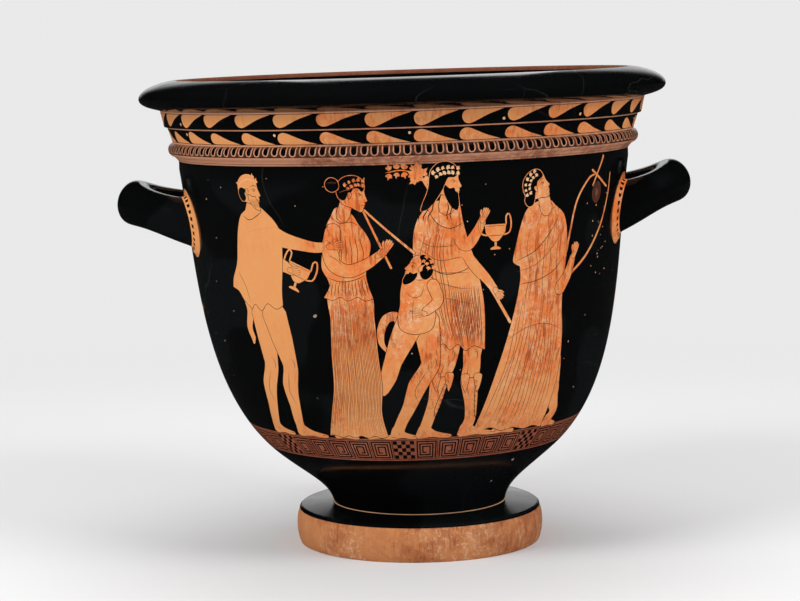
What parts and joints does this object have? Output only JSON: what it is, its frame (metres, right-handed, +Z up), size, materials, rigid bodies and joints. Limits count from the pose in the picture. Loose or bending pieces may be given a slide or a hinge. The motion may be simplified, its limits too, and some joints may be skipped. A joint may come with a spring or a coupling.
{
  "type": "bell krater",
  "caption": "Ancient Greek bell krater: wide clay mixing bowl with overhanging lip, moulded neck, disc foot and upturned loop handles, painted in red figures.",
  "frame": {"origin": "on the standing surface, under the middle of the whole pot's box; the foot's own centre is 9.2 mm towards +X, because the pot leans", "axes": "+Z up, X through the two handles, -Y towards the side with the main picture"},
  "size_m": [0.4644, 0.4236, 0.3844],
  "materials": {
    "glossed_clay": "black gloss slip with reserved orange clay figures, bands and foot edge"
  },
  "bodies": {
    "root": {"krater": "glossed_clay"}
  },
  "joints": []
}
